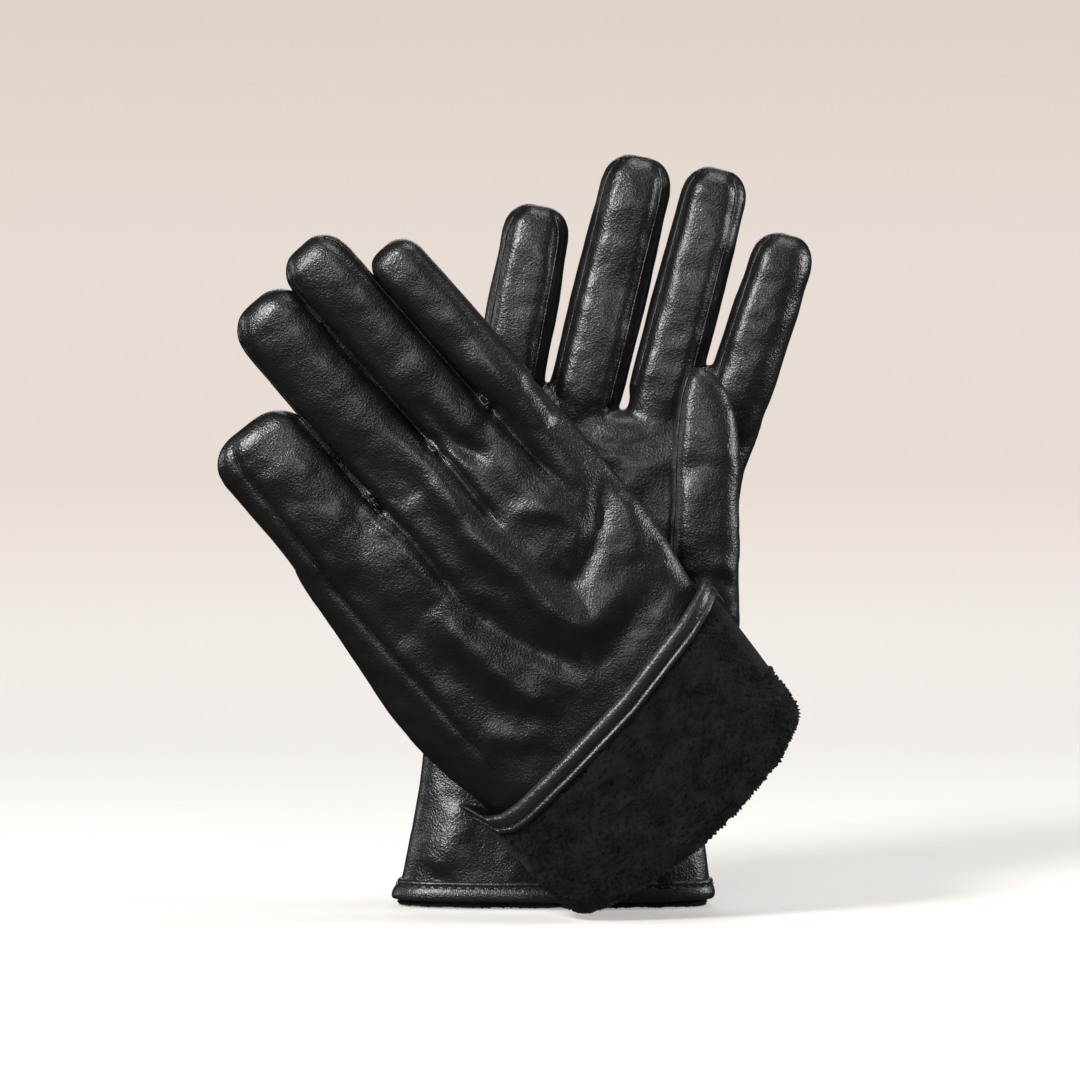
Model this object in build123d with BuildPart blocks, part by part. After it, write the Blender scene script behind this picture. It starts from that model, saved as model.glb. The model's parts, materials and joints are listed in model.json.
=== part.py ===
"""A pair of plush-lined leather dress gloves, standing crossed.

The right glove stands on its cuff with the palm to the front and leans back a little. The left glove leans
sideways in front of it, back of the hand to the front, with its cuff turned up so that the plush shows.

Each glove has its own plane: local x runs across the hand to the index finger, local y runs up the hand to
the fingertips, and local z points to the front. Millimetres and degrees throughout.
"""

import os
from collections import namedtuple
from math import cos, radians, sin

from build123d import *

os.makedirs("parts", exist_ok=True)

# ---- skins ----
LEATHER = 1.0
PLUSH = 1.8
SKIN_GAP = 0.1  # leather to plush in a finger
HAND_GAP = 1.0  # leather to plush in the hand, where the wrist elastic lies
FINGER_IN = LEATHER + SKIN_GAP
HAND_IN = LEATHER + HAND_GAP

# ---- finger knuckles ----
KNUCKLE_RISE = 15.0  # hinge above the crotch, along the finger
BASE_BACK = 3.0  # the tube's lower edge below the hinge, at the back of the finger
BASE_PALM = 11.0  # and on the palm side, where it dips into the hand
TIP_FLAT = 0.6  # what the fingertip's fillet leaves flat
FOURCHETTE = 5.5  # how far a side strip reaches in from the finger's side

# ---- thumbs ----
THUMB_GAP = 0.6  # thumb clear of the palm that it lies on
THUMB_HEEL = 12.0  # the thumb below its hinge
THUMB_HOLE = 7.0

# ---- cuffs ----
HEM_HEIGHT = 7.0
HEM_PROUD = 0.5
HEM_LIFT = 3.0  # the right hem's lower edge above the surface; the plush stands on it
CUFF_LINING_TOP = 45.0
TURN_GAP = 0.8  # between the left hand and its turned-up cuff
TURN_TOP = 48.0
TURN_FOLD = -2.7  # the fold's lowest line, in the left glove's local y
TURN_FLARE = 3.0  # how much wider the cuff is at its hem than at its fold

# ---- wrist elastic ----
ELASTIC_LENGTH = 50.0
ELASTIC_WIDTH = 6.0
ELASTIC_THICK = 0.6
ELASTIC_HEIGHT = 66.0

REACH = 400.0  # longer than anything here, for cutting blocks

Station = namedtuple("Station", "height centre width depth")
Finger = namedtuple("Finger", "name root tip width thick crotch fourchettes")
Thumb = namedtuple("Thumb", "root tip width thick")
Glove = namedtuple("Glove", "side plane palm stations fingers thumb rim_palm rim_back lining_top")

# ---- the right glove ----
RIGHT_LEAN = 5.0
RIGHT_X = 11.5
RIGHT_Y = 10.8
RIGHT_STATIONS = [
    Station(-5, 0, 108, 28),
    Station(38, 2, 95, 27),
    Station(100, 10, 106, 27),
    Station(150, 18, 105, 27),
    Station(196, 28.5, 109, 26),
]
RIGHT_FINGERS = [
    Finger("index", (61.5, 170), (80.3, 228.0), 21.0, 19.0, 170, (-1,)),
    Finger("middle", (35.5, 168), (57.0, 250.6), 22.5, 20.0, 168, (-1, 1)),
    Finger("ring", (9.4, 168), (30.6, 254.8), 23.6, 20.0, 168, (-1, 1)),
    Finger("pinky", (-15.6, 172), (-3.6, 238.0), 23.4, 19.0, 172, (1,)),
]
RIGHT_THUMB = Thumb((49.5, 105), (50.0, 181), 22.0, 16.0)

# ---- the left glove ----
LEFT_TILT = 40.5
LEFT_X = 55.9
LEFT_Y = -27.2
LEFT_STATIONS = [
    Station(-5, 0, 93.0, 22),
    Station(50, 1, 97.0, 22),
    Station(63, 1, 102, 24),
    Station(80, 2, 108, 24),
    Station(140, 3.0, 107.5, 24),
    Station(165, 3.0, 107.5, 24),
]
LEFT_FINGERS = [
    Finger("index", (45.4, 140), (44.8, 208), 18.8, 17.0, 140, (-1,)),
    Finger("middle", (24.6, 140), (23.4, 226), 22.8, 18.0, 140, (-1, 1)),
    Finger("ring", (-0.5, 140), (-1.2, 222), 25.0, 18.0, 140, (-1, 1)),
    Finger("pinky", (-32.0, 137), (-29.5, 193), 28.0, 18.0, 137, (1,)),
]
LEFT_THUMB = Thumb((29, 80), (16, 146), 22.0, 14.0)


def turned_cuff_inset(layers):
    """How far outside the hand's leather a layer of the turned-up cuff lies, as a negative inset."""
    return -(TURN_GAP + layers)


LEFT_CUFF_HALF = LEFT_STATIONS[0].width / 2 - turned_cuff_inset(LEATHER + SKIN_GAP + PLUSH)
LEFT_Z = (LEFT_CUFF_HALF + SKIN_GAP / 2) * sin(radians(LEFT_TILT)) - TURN_FOLD * cos(radians(LEFT_TILT))


def glove_plane(origin, tilt, lean):
    """A glove's plane, turned by tilt towards -X and leant back by lean."""
    up = Vector(-sin(radians(tilt)), cos(radians(tilt)) * sin(radians(lean)), cos(radians(tilt)) * cos(radians(lean)))
    across = Vector(cos(radians(tilt)), 0, sin(radians(tilt)))
    return Plane(origin=origin, x_dir=across, z_dir=across.cross(up))


RIGHT = Glove(
    "right",
    glove_plane((RIGHT_X, RIGHT_Y, 0), 0, RIGHT_LEAN),
    1,
    RIGHT_STATIONS,
    RIGHT_FINGERS,
    RIGHT_THUMB,
    rim_palm=170,
    rim_back=181,
    lining_top=164,
)
LEFT = Glove(
    "left",
    glove_plane((LEFT_X, LEFT_Y, LEFT_Z), LEFT_TILT, 0),
    -1,
    LEFT_STATIONS,
    LEFT_FINGERS,
    LEFT_THUMB,
    rim_palm=140,
    rim_back=150,
    lining_top=134,
)


# ---- planes and blocks ----
def cross_plane(glove, centre, height):
    """A plane across the hand at a height, its local x along the glove's."""
    origin = glove.plane.from_local_coords(Vector(centre, height, 0))
    return Plane(origin=origin, x_dir=glove.plane.x_dir, z_dir=glove.plane.y_dir)


def finger_direction(glove, digit):
    """The unit vector from a digit's root to its tip."""
    low = glove.plane.from_local_coords(Vector(*digit.root, 0))
    high = glove.plane.from_local_coords(Vector(*digit.tip, 0))
    return (high - low).normalized()


def finger_plane(glove, finger):
    """The plane through a finger's hinge, square to the finger. Its local y points away from the front."""
    along = finger_direction(glove, finger)
    root = glove.plane.from_local_coords(Vector(*finger.root, 0))
    across = glove.plane.z_dir.cross(along) * -1
    return Plane(origin=root + along * KNUCKLE_RISE, x_dir=across, z_dir=along)


def finger_length(glove, finger):
    """From the hinge to the fingertip."""
    low, high = Vector(*finger.root, 0), Vector(*finger.tip, 0)
    return (high - low).length - KNUCKLE_RISE


def block(plane, x_range, y_range, z_range):
    """A box between limits on a plane's own axes."""
    x_low, x_high = x_range
    y_low, y_high = y_range
    z_low, z_high = z_range
    with BuildPart() as made:
        with BuildSketch(plane.offset(z_low)):
            with Locations(((x_low + x_high) / 2, (y_low + y_high) / 2)):
                Rectangle(x_high - x_low, y_high - y_low)
        extrude(amount=z_high - z_low)
    return made.part


def save(part, name):
    """Labels a finished piece and writes it as one STEP file."""
    part.label = name
    export_step(part, f"parts/{name}.step")


# ---- hand ----
def hand_form(glove, inset, low, high, flare=0.0):
    """The hand as a solid, every section drawn in by inset, between two heights. Flare widens it upwards."""
    stations = glove.stations
    span = stations[-1].height - stations[0].height
    with BuildPart() as form:
        for s in stations:
            grow = 2 * (flare * (s.height - stations[0].height) / span - inset)
            with BuildSketch(cross_plane(glove, s.centre, s.height)):
                SlotOverall(s.width + grow, s.depth + grow)
        loft(ruled=True)
        split(bisect_by=cross_plane(glove, 0, low), keep=Keep.TOP)
        split(bisect_by=cross_plane(glove, 0, high), keep=Keep.BOTTOM)
    return form.part


def hand_tube(glove, outer_inset, inner_inset, low, high):
    """A tube of the hand's shape between two insets."""
    with BuildPart() as tube:
        add(hand_form(glove, outer_inset, low, high))
        add(hand_form(glove, inner_inset, low - 1, high + 1), mode=Mode.SUBTRACT)
    return tube.part


def thumb_hole(glove):
    """The round hole in the palm that the thumb opens from."""
    digit = glove.thumb
    centre = glove.plane.from_local_coords(Vector(*digit.root, 0))
    with BuildPart() as made:
        with BuildSketch(Plane(origin=centre, x_dir=glove.plane.x_dir, z_dir=glove.plane.z_dir * glove.palm)):
            Circle(THUMB_HOLE)
        extrude(amount=REACH / 10)
    return made.part


def hand_panels(glove, low):
    """The hand's leather as a back panel and a palm panel, which meet along the sides of the hand."""
    shell = hand_tube(glove, 0, LEATHER, low, glove.rim_back)
    front = block(glove.plane, (-REACH, REACH), (-REACH, REACH), (0, REACH))
    rear = block(glove.plane, (-REACH, REACH), (-REACH, REACH), (-REACH, 0))
    palm_side, back_side = (front, rear) if glove.palm > 0 else (rear, front)
    with BuildPart() as back:
        add(shell)
        add(back_side, mode=Mode.INTERSECT)
        if glove.side == "right":
            split(bisect_by=Plane.XY.offset(HEM_LIFT + HEM_HEIGHT), keep=Keep.TOP)
    save(back.part, f"{glove.side}_back_panel")
    with BuildPart() as palm:
        add(shell)
        add(palm_side, mode=Mode.INTERSECT)
        split(bisect_by=cross_plane(glove, 0, glove.rim_palm), keep=Keep.BOTTOM)
        add(thumb_hole(glove), mode=Mode.SUBTRACT)
        if glove.side == "right":
            split(bisect_by=Plane.XY.offset(HEM_LIFT + HEM_HEIGHT), keep=Keep.TOP)
    save(palm.part, f"{glove.side}_palm_panel")


def hand_lining(glove):
    """The plush inside the hand, above the cuff."""
    with BuildPart() as lining:
        add(hand_tube(glove, HAND_IN, HAND_IN + PLUSH, CUFF_LINING_TOP, glove.lining_top))
        add(thumb_hole(glove), mode=Mode.SUBTRACT)
    save(lining.part, f"{glove.side}_hand_lining")


def wrist_elastic(glove):
    """The gathered elastic tape between the leather and the plush, on the palm side of the wrist."""
    depth = glove.stations[-2].depth if glove.side == "right" else glove.stations[3].depth
    near = depth / 2 - LEATHER - (HAND_GAP + ELASTIC_THICK) / 2
    z_range = sorted((glove.palm * near, glove.palm * (near + ELASTIC_THICK)))
    y_low = ELASTIC_HEIGHT if glove.side == "right" else ELASTIC_HEIGHT + TURN_TOP / 2
    half = ELASTIC_LENGTH / 2
    shift = -5
    tape = block(glove.plane, (shift - half, shift + half), (y_low, y_low + ELASTIC_WIDTH), z_range)
    save(tape, f"{glove.side}_wrist_elastic")


# ---- fingers ----
def finger_form(glove, finger, inset):
    """A finger as a solid: a slot section with a domed tip and a slanted base, drawn in by inset."""
    plane = finger_plane(glove, finger)
    length = finger_length(glove, finger) + 2 * BASE_PALM - inset
    with BuildPart() as form:
        with BuildSketch(plane.offset(-2 * BASE_PALM)):
            SlotOverall(finger.width - 2 * inset, finger.thick - 2 * inset)
        extrude(amount=length)
        tip = form.faces().sort_by(Axis(plane.origin, plane.z_dir))[-1]
        fillet(tip.edges(), finger.thick / 2 - inset - TIP_FLAT)
        middle = (BASE_BACK + BASE_PALM) / 2
        palm_y = -glove.palm
        slope = Vector(0, palm_y * (BASE_PALM - BASE_BACK), finger.thick)
        cut = Plane(
            origin=plane.from_local_coords(Vector(0, 0, -middle)),
            x_dir=plane.x_dir,
            z_dir=plane.from_local_coords(slope) - plane.origin,
        )
        split(bisect_by=cut, keep=Keep.TOP)
    return form.part


def finger_shell(glove, finger, outer_inset, inner_inset):
    """A finger's skin between two insets, open at its base."""
    with BuildPart() as shell:
        add(finger_form(glove, finger, outer_inset))
        add(finger_form(glove, finger, inner_inset), mode=Mode.SUBTRACT)
    return shell.part


def sliced(part, *cuts):
    """A part with only the side of each cut that its plane faces."""
    with BuildPart() as slice_:
        add(part)
        for cut in cuts:
            split(bisect_by=cut, keep=Keep.TOP)
    return slice_.part


def finger_pieces(glove, finger):
    """A finger's leather back, leather palm, side strips and plush. Only a side next to another finger has a
    strip. The index finger's back wraps round its free side, and the little finger's palm round its own."""
    plane = finger_plane(glove, finger)
    shell = finger_shell(glove, finger, 0, LEATHER)
    side_x = finger.width / 2 - FOURCHETTE
    outer, inner = {}, {}
    for side in (-1, 1):
        edge = plane.from_local_coords(Vector(side * side_x, 0, 0))
        outer[side] = Plane(origin=edge, x_dir=plane.z_dir, z_dir=plane.x_dir * side)
        inner[side] = Plane(origin=edge, x_dir=plane.z_dir, z_dir=plane.x_dir * -side)
    backwards = Plane(origin=plane.origin, x_dir=plane.z_dir, z_dir=glove.plane.z_dir * -glove.palm)
    palmwards = Plane(origin=plane.origin, x_dir=plane.z_dir, z_dir=glove.plane.z_dir * glove.palm)
    with BuildPart() as strips:
        for side in finger.fourchettes:
            add(sliced(shell, outer[side]))
    with BuildPart() as back:
        add(sliced(shell, inner[-1], inner[1], backwards))
        if finger.name == "index":
            add(sliced(shell, outer[1]))
    with BuildPart() as palm:
        add(sliced(shell, inner[-1], inner[1], palmwards))
        if finger.name == "pinky":
            add(sliced(shell, outer[-1]))
    name = f"{glove.side}_{finger.name}"
    save(back.part, f"{name}_back")
    save(palm.part, f"{name}_palm")
    save(strips.part, f"{name}_fourchettes" if len(finger.fourchettes) > 1 else f"{name}_fourchette")
    save(finger_shell(glove, finger, FINGER_IN, FINGER_IN + PLUSH), f"{name}_lining")


# ---- thumbs ----
def thumb_axis_plane(glove):
    """The plane square to the thumb through the foot of its heel, on the thumb's own centre line."""
    digit = glove.thumb
    along = finger_direction(glove, digit)
    outwards = glove.plane.z_dir * glove.palm
    hand_half = max(s.depth for s in glove.stations[2:]) / 2
    hinge = glove.plane.from_local_coords(Vector(*digit.root, 0))
    foot = hinge + outwards * (hand_half + THUMB_GAP + digit.thick / 2) - along * THUMB_HEEL
    return Plane(origin=foot, x_dir=outwards.cross(along) * -1, z_dir=along)


def thumb_form(glove, inset):
    """A thumb as a solid, rounded at both ends and drawn in by inset."""
    digit = glove.thumb
    plane = thumb_axis_plane(glove)
    length = (Vector(*digit.tip, 0) - Vector(*digit.root, 0)).length + THUMB_HEEL
    with BuildPart() as form:
        with BuildSketch(plane.offset(inset)):
            SlotOverall(digit.width - 2 * inset, digit.thick - 2 * inset)
        extrude(amount=length - 2 * inset)
        ends = form.faces().sort_by(Axis(plane.origin, plane.z_dir))
        round_edges = ends[-1].edges() + ends[0].edges()
        fillet(round_edges, digit.thick / 2 - inset - TIP_FLAT)
    return form.part


def thumb_shell(glove, outer_inset, inner_inset):
    """A thumb's skin between two insets, with the hole that opens into the hand."""
    with BuildPart() as shell:
        add(thumb_form(glove, outer_inset))
        add(thumb_form(glove, inner_inset), mode=Mode.SUBTRACT)
        plane = thumb_axis_plane(glove)
        outwards = glove.plane.z_dir * glove.palm
        hinge = plane.origin + plane.z_dir * THUMB_HEEL
        with BuildSketch(Plane(origin=hinge, x_dir=glove.plane.x_dir, z_dir=outwards * -1)):
            Circle(THUMB_HOLE)
        extrude(amount=glove.thumb.thick, mode=Mode.SUBTRACT)
    return shell.part


def thumb_pieces(glove):
    """A thumb's outer leather, its inner leather next to the palm, and its plush."""
    plane = thumb_axis_plane(glove)
    outwards = glove.plane.z_dir * glove.palm
    half_plane = Plane(origin=plane.origin, x_dir=plane.z_dir, z_dir=outwards)
    shell = thumb_shell(glove, 0, LEATHER)
    for name, keep in (("outer", Keep.TOP), ("inner", Keep.BOTTOM)):
        with BuildPart() as half:
            add(shell)
            split(bisect_by=half_plane, keep=keep)
        save(half.part, f"{glove.side}_thumb_{name}")
    save(thumb_shell(glove, FINGER_IN, FINGER_IN + PLUSH), f"{glove.side}_thumb_lining")


# ---- cuffs ----
def right_cuff():
    """The right cuff hangs straight: its plush stands on the surface, inside a leather hem."""
    with BuildPart() as lining:
        add(hand_tube(RIGHT, HAND_IN, HAND_IN + PLUSH, -5, CUFF_LINING_TOP))
        split(bisect_by=Plane.XY, keep=Keep.TOP)
    save(lining.part, "right_cuff_lining")
    with BuildPart() as hem:
        add(hand_tube(RIGHT, -HEM_PROUD, HAND_IN - SKIN_GAP, -5, HEM_LIFT + 2 * HEM_HEIGHT))
        split(bisect_by=Plane.XY.offset(HEM_LIFT), keep=Keep.TOP)
        split(bisect_by=Plane.XY.offset(HEM_LIFT + HEM_HEIGHT), keep=Keep.BOTTOM)
    save(hem.part, "right_hem")


def left_cuff():
    """The left cuff is turned up: plush outside, leather inside, a leather hem along the upper edge."""
    leather_in = turned_cuff_inset(0)
    leather_out = turned_cuff_inset(LEATHER)
    plush_in = turned_cuff_inset(LEATHER + SKIN_GAP)
    plush_out = turned_cuff_inset(LEATHER + SKIN_GAP + PLUSH)
    fold_top = TURN_FOLD + PLUSH
    with BuildPart() as leather:
        add(hand_tube(LEFT, leather_out, leather_in, fold_top + SKIN_GAP, TURN_TOP))
    save(leather.part, "left_cuff_leather")
    with BuildPart() as lining:
        add(hand_form(LEFT, plush_out, TURN_FOLD, TURN_TOP))
        add(hand_form(LEFT, plush_in, fold_top, TURN_TOP + 1), mode=Mode.SUBTRACT)
        add(hand_tube(LEFT, HAND_IN, HAND_IN + PLUSH, TURN_FOLD, CUFF_LINING_TOP))
        add(hand_form(LEFT, HAND_IN + PLUSH, TURN_FOLD - 1, CUFF_LINING_TOP + 1), mode=Mode.SUBTRACT)
    save(lining.part, "left_cuff_lining")
    with BuildPart() as hem:
        add(hand_tube(LEFT, plush_out, leather_in, TURN_TOP, TURN_TOP + HEM_HEIGHT))
    save(hem.part, "left_hem")


for pair_half in (RIGHT, LEFT):
    hand_panels(pair_half, -5 if pair_half.side == "right" else TURN_FOLD + PLUSH + SKIN_GAP)
    hand_lining(pair_half)
    wrist_elastic(pair_half)
    for one_finger in pair_half.fingers:
        finger_pieces(pair_half, one_finger)
    thumb_pieces(pair_half)
right_cuff()
left_cuff()
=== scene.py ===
# %% [markdown]
# # A pair of plush-lined leather gloves
# The right glove stands on its cuff, palm forward. The left one leans across it, back of the hand forward,
# with its cuff turned up so that the plush shows. Soft skins, seams, plush and hems are built round a frame
# of plain solids with real hinges.

# %% Load the frame
import json
import random
from collections import namedtuple
from math import atan2, cos, pi, radians, sin

import bmesh
import bpy
import numpy as np
from mathutils import Matrix, Vector, noise
from mathutils.bvhtree import BVHTree


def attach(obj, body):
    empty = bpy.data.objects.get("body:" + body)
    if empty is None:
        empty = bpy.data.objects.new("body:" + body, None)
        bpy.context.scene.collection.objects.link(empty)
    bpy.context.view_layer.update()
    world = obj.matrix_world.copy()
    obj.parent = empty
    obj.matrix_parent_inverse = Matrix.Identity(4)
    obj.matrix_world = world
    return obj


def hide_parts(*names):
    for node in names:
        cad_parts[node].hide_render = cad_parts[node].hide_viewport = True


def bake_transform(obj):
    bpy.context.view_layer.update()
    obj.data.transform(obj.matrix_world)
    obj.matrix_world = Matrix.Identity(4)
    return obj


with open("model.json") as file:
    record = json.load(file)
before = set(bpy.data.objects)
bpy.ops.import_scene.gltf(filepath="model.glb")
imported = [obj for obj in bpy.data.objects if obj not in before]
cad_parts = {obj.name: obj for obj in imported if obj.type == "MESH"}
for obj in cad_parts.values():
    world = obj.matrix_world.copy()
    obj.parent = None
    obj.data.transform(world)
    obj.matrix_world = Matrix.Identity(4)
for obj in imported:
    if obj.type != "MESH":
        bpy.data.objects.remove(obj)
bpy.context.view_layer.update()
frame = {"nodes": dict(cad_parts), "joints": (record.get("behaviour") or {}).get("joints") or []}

# %% [markdown]
# ## Each glove's own axes
# A glove is cut flat, so it is modelled flat, in millimetres on its own axes: s runs across the hand to the
# index finger, t up to the fingertips, and n to the front. One matrix puts the finished skin in the frame.
# The fingers hang on the frame's hinges, so their axes are read from it.

# %% Glove axes and finger axes
MM = 0.001
Glove = namedtuple("Glove", "side origin across up front palm")


def make_glove(side, origin, tilt, lean, palm):
    """A glove's axes, turned towards -X and leaning back. Palm is 1 where the palm faces the front."""
    tilt, lean = radians(tilt), radians(lean)
    up = Vector((-sin(tilt), cos(tilt) * sin(lean), cos(tilt) * cos(lean)))
    across = Vector((cos(tilt), 0, sin(tilt)))
    return Glove(side, Vector(origin), across, up, across.cross(up), palm)


def axes_matrix(origin, across, up, front):
    """Millimetres on three axes to metres in the frame."""
    turn = Matrix((across, up, front)).transposed().to_4x4()
    return Matrix.Translation(origin) @ turn @ Matrix.Scale(MM, 4)


def glove_matrix(glove):
    return axes_matrix(glove.origin, glove.across, glove.up, glove.front)


JOINTS = {joint["name"]: joint for joint in frame["joints"]}
RIGHT_LEAN = 5  # degrees
RIGHT = make_glove("right", (0.0115, 0.0108, 0.0), 0, RIGHT_LEAN, 1)
LEFT = make_glove("left", (0.0559, -0.0272, 0.03469), 40.5, 0, -1)


def finger_matrix(glove, name):
    """The finger's own axes, from its hinge: x across it, y along it to the tip, z to the front."""
    joint = JOINTS[f"{glove.side}_{name}_flex"]
    across = Vector(joint["axis"]) * glove.palm
    along = glove.front.cross(across)
    return axes_matrix(Vector(joint["pos_m"]), across, along, glove.front)


def finger_in_glove(glove, name):
    """From the finger's own axes to the glove's."""
    return glove_matrix(glove).inverted() @ finger_matrix(glove, name)


def finger_reach(glove, name):
    """How far the frame's finger reaches above its hinge, in millimetres."""
    node = frame["nodes"][f"{glove.side}_{name}_palm"]
    inverse = finger_matrix(glove, name).inverted()
    return max((inverse @ v.co).y for v in node.data.vertices)


for glove in (RIGHT, LEFT):
    reaches = {name: round(finger_reach(glove, name), 1) for name in ("index", "middle", "ring", "pinky")}
    print(glove.side, "finger reach above the hinge, mm:", reaches)

# %% [markdown]
# ## Shader arithmetic
# A finish is a small sum of patterns. The class below wraps a node's output, so that patterns add and
# multiply as in plain Python, each with its own Math node.


# %% The socket wrapper
class Pattern:
    """A node's output that takes part in plain arithmetic."""

    def __init__(self, tree, socket):
        self.tree, self.socket = tree, socket

    def node(self, kind, settings=None, output=0, **inputs):
        """Adds a node: settings first, then each input socket's value or link."""
        made = self.tree.nodes.new(kind)
        for key, value in (settings or {}).items():
            if key == "stops":
                for stop, (place, colour) in zip(made.color_ramp.elements, value):
                    stop.position, stop.color = place, colour
            else:
                setattr(made, key, value)
        for key, value in inputs.items():
            socket = made.inputs[int(key[1:]) if key.startswith("_") else key.replace("_", " ")]
            if isinstance(value, Pattern):
                self.tree.links.new(value.socket, socket)
            else:
                socket.default_value = value
        return Pattern(self.tree, made.outputs[output])

    def maths(self, operation, first, second):
        return self.node("ShaderNodeMath", {"operation": operation}, _0=first, _1=second)


def add_operator(name, operation):
    """Gives patterns one operator and its reflected form."""
    setattr(Pattern, f"__{name}__", lambda first, second: first.maths(operation, first, second))
    setattr(Pattern, f"__r{name}__", lambda second, first: second.maths(operation, first, second))


for name, operation in (("add", "ADD"), ("sub", "SUBTRACT"), ("mul", "MULTIPLY")):
    add_operator(name, operation)


def new_material(name, **constants):
    """A material with these constant inputs. Gives it, its shader and its place as a pattern."""
    material = bpy.data.materials.new(name)
    material.use_nodes = True
    shader = material.node_tree.nodes["Principled BSDF"]
    for key, value in constants.items():
        shader.inputs[key.replace("_", " ")].default_value = value
    place = material.node_tree.nodes.new("ShaderNodeTexCoord")
    return material, shader, Pattern(material.node_tree, place.outputs["Object"])


def feed(shader, name, pattern):
    pattern.tree.links.new(pattern.socket, shader.inputs[name])


def mixed(place, factor, low, high):
    """A colour between two colours."""
    return place.node("ShaderNodeMix", {"data_type": "RGBA"}, 2, _0=factor, _6=low, _7=high)


def toned(tone, share):
    return tuple(c * share for c in tone) + (1.0,)


# %% [markdown]
# ## Leather
# Smooth glove leather is dyed almost black and lightly polished. It has a pebbled grain of cells about 0.7
# mm across, softer stretch marks a few millimetres long, and a gloss that varies with handling: cells in
# the bump and slow noise in the roughness.


# %% The leather finish
def make_leather(name, tone, gloss):
    material, shader, place = new_material(name, Specular_IOR_Level=0.5, Coat_Roughness=0.22, IOR=1.5)
    cells = place.node(
        "ShaderNodeTexVoronoi", {"feature": "SMOOTH_F1"}, Vector=place, Scale=1600.0, Smoothness=0.6
    )
    fine = place.node("ShaderNodeTexNoise", None, Vector=place, Scale=900.0, Detail=3.0, Roughness=0.6)
    stretch = place.node("ShaderNodeTexNoise", None, Vector=place, Scale=160.0, Detail=4.0, Roughness=0.55)
    slow = place.node("ShaderNodeTexNoise", None, Vector=place, Scale=38.0, Detail=2.0, Roughness=0.5)
    feed(shader, "Base Color", mixed(place, stretch * 0.6 + slow * 0.4, toned(tone, 0.7), toned(tone, 1.6)))
    feed(shader, "Roughness", gloss + slow * 0.12 + cells * 0.05)
    feed(shader, "Coat Weight", 0.14 - slow * 0.12)
    grain = place.node("ShaderNodeBump", None, Height=cells + fine * 0.6, Strength=0.75, Distance=0.00018)
    creases = place.node(
        "ShaderNodeBump", None, Height=stretch, Strength=0.25, Distance=0.0007, Normal=grain
    )
    feed(shader, "Normal", creases)
    return material


LEATHER = make_leather("black_glove_leather", (0.0042, 0.0039, 0.0038), 0.28)
# The hem's leather is the glove leather painted about twice as light: a painted highlight for its lit rolls.
HEM_LEATHER_PAINTED_LIGHT = make_leather("black_hem_leather", (0.0080, 0.0076, 0.0074), 0.30)

# %% [markdown]
# ## Plush, thread and tape
# The lining is a short-pile plush. Pile scatters light at its edges, which a constant sheen gives, and its
# nap lies in patches of slow noise. Thread is a twisted strand, and a slanted wave in its bump is enough at
# its size.


# %% The plush, thread and tape finishes
def smooth_range(place, value, low, high):
    """Eases a value from 0 to 1 between two limits."""
    smooth = {"interpolation_type": "SMOOTHSTEP"}
    return place.node("ShaderNodeMapRange", smooth, Value=value, From_Min=low, From_Max=high)


def make_plush(name, tone, sheen):
    material, shader, place = new_material(
        name,
        Specular_IOR_Level=0.12,
        Sheen_Weight=sheen,
        Sheen_Roughness=0.45,
        Sheen_Tint=(0.5, 0.48, 0.46, 1.0),
    )
    nap = place.node("ShaderNodeTexNoise", None, Vector=place, Scale=140.0, Detail=3.0, Roughness=0.6)
    pile = place.node("ShaderNodeTexNoise", None, Vector=place, Scale=1500.0, Detail=2.0, Roughness=0.7)
    patches = smooth_range(place, nap * 0.6 + pile * 0.4, 0.32, 0.68)
    feed(shader, "Base Color", mixed(place, patches, toned(tone, 0.3), toned(tone, 2.0)))
    feed(shader, "Roughness", 0.8 + nap * 0.2)
    rough = place.node("ShaderNodeBump", None, Height=pile + nap, Strength=0.8, Distance=0.0006)
    feed(shader, "Normal", rough)
    return material


def make_thread(name, tone):
    material, shader, place = new_material(name, Specular_IOR_Level=0.4)
    strand = place.node("ShaderNodeTexWave", None, Vector=place, Scale=900.0, Distortion=1.0)
    feed(shader, "Base Color", mixed(place, strand, toned(tone, 1.0), toned(tone, 1.8)))
    feed(shader, "Roughness", 0.55 + strand * 0.2)
    feed(shader, "Normal", place.node("ShaderNodeBump", None, Height=strand, Strength=0.5, Distance=0.0002))
    return material


PLUSH = make_plush("black_plush", (0.0056, 0.0053, 0.0052), 0.08)
THREAD = make_thread("black_thread", (0.014, 0.013, 0.013))
TAPE = make_thread("black_elastic_tape", (0.020, 0.020, 0.020))

# %% [markdown]
# ## Rings and lofts
# A glove's hand and fingers are soft tubes. A tube is a stack of rings bridged together, each one a circle
# pulled to a rounded box, because a finger with side strips is boxier than a pipe.

# %% Ring and loft helpers
Ring = namedtuple("Ring", "height left right front back power rise", defaults=(0.0,))


def rings_of(*rows):
    return tuple(Ring(*row) for row in rows)


def grown(ring, out):
    """The ring standing off by some millimetres all round."""
    return ring._replace(
        left=ring.left - out, right=ring.right + out, front=ring.front + out, back=ring.back + out
    )


def add_ring(bm, ring, segments, matrix, bend=None):
    """One closed ring, pulled from a circle to a rounded box. Bend gives its height from its place."""
    verts = bmesh.ops.create_circle(bm, cap_ends=False, radius=1, segments=segments)["verts"]
    middle, half = (ring.left + ring.right) / 2, (ring.right - ring.left) / 2
    for v in verts:
        angle = atan2(v.co.y, v.co.x)
        c, s = cos(angle), sin(angle)
        depth = ring.front if s > 0 else ring.back
        x = abs(c) ** (2 / ring.power) * (1 if c > 0 else -1)
        z = abs(s) ** (2 / ring.power) * (1 if s > 0 else -1)
        place = Vector((middle + half * x, ring.height, ring.rise + depth * z))
        if bend:
            place.y = bend(place)
        v.co = matrix @ place
    return verts, list({e for v in verts for e in v.link_edges})


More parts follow.
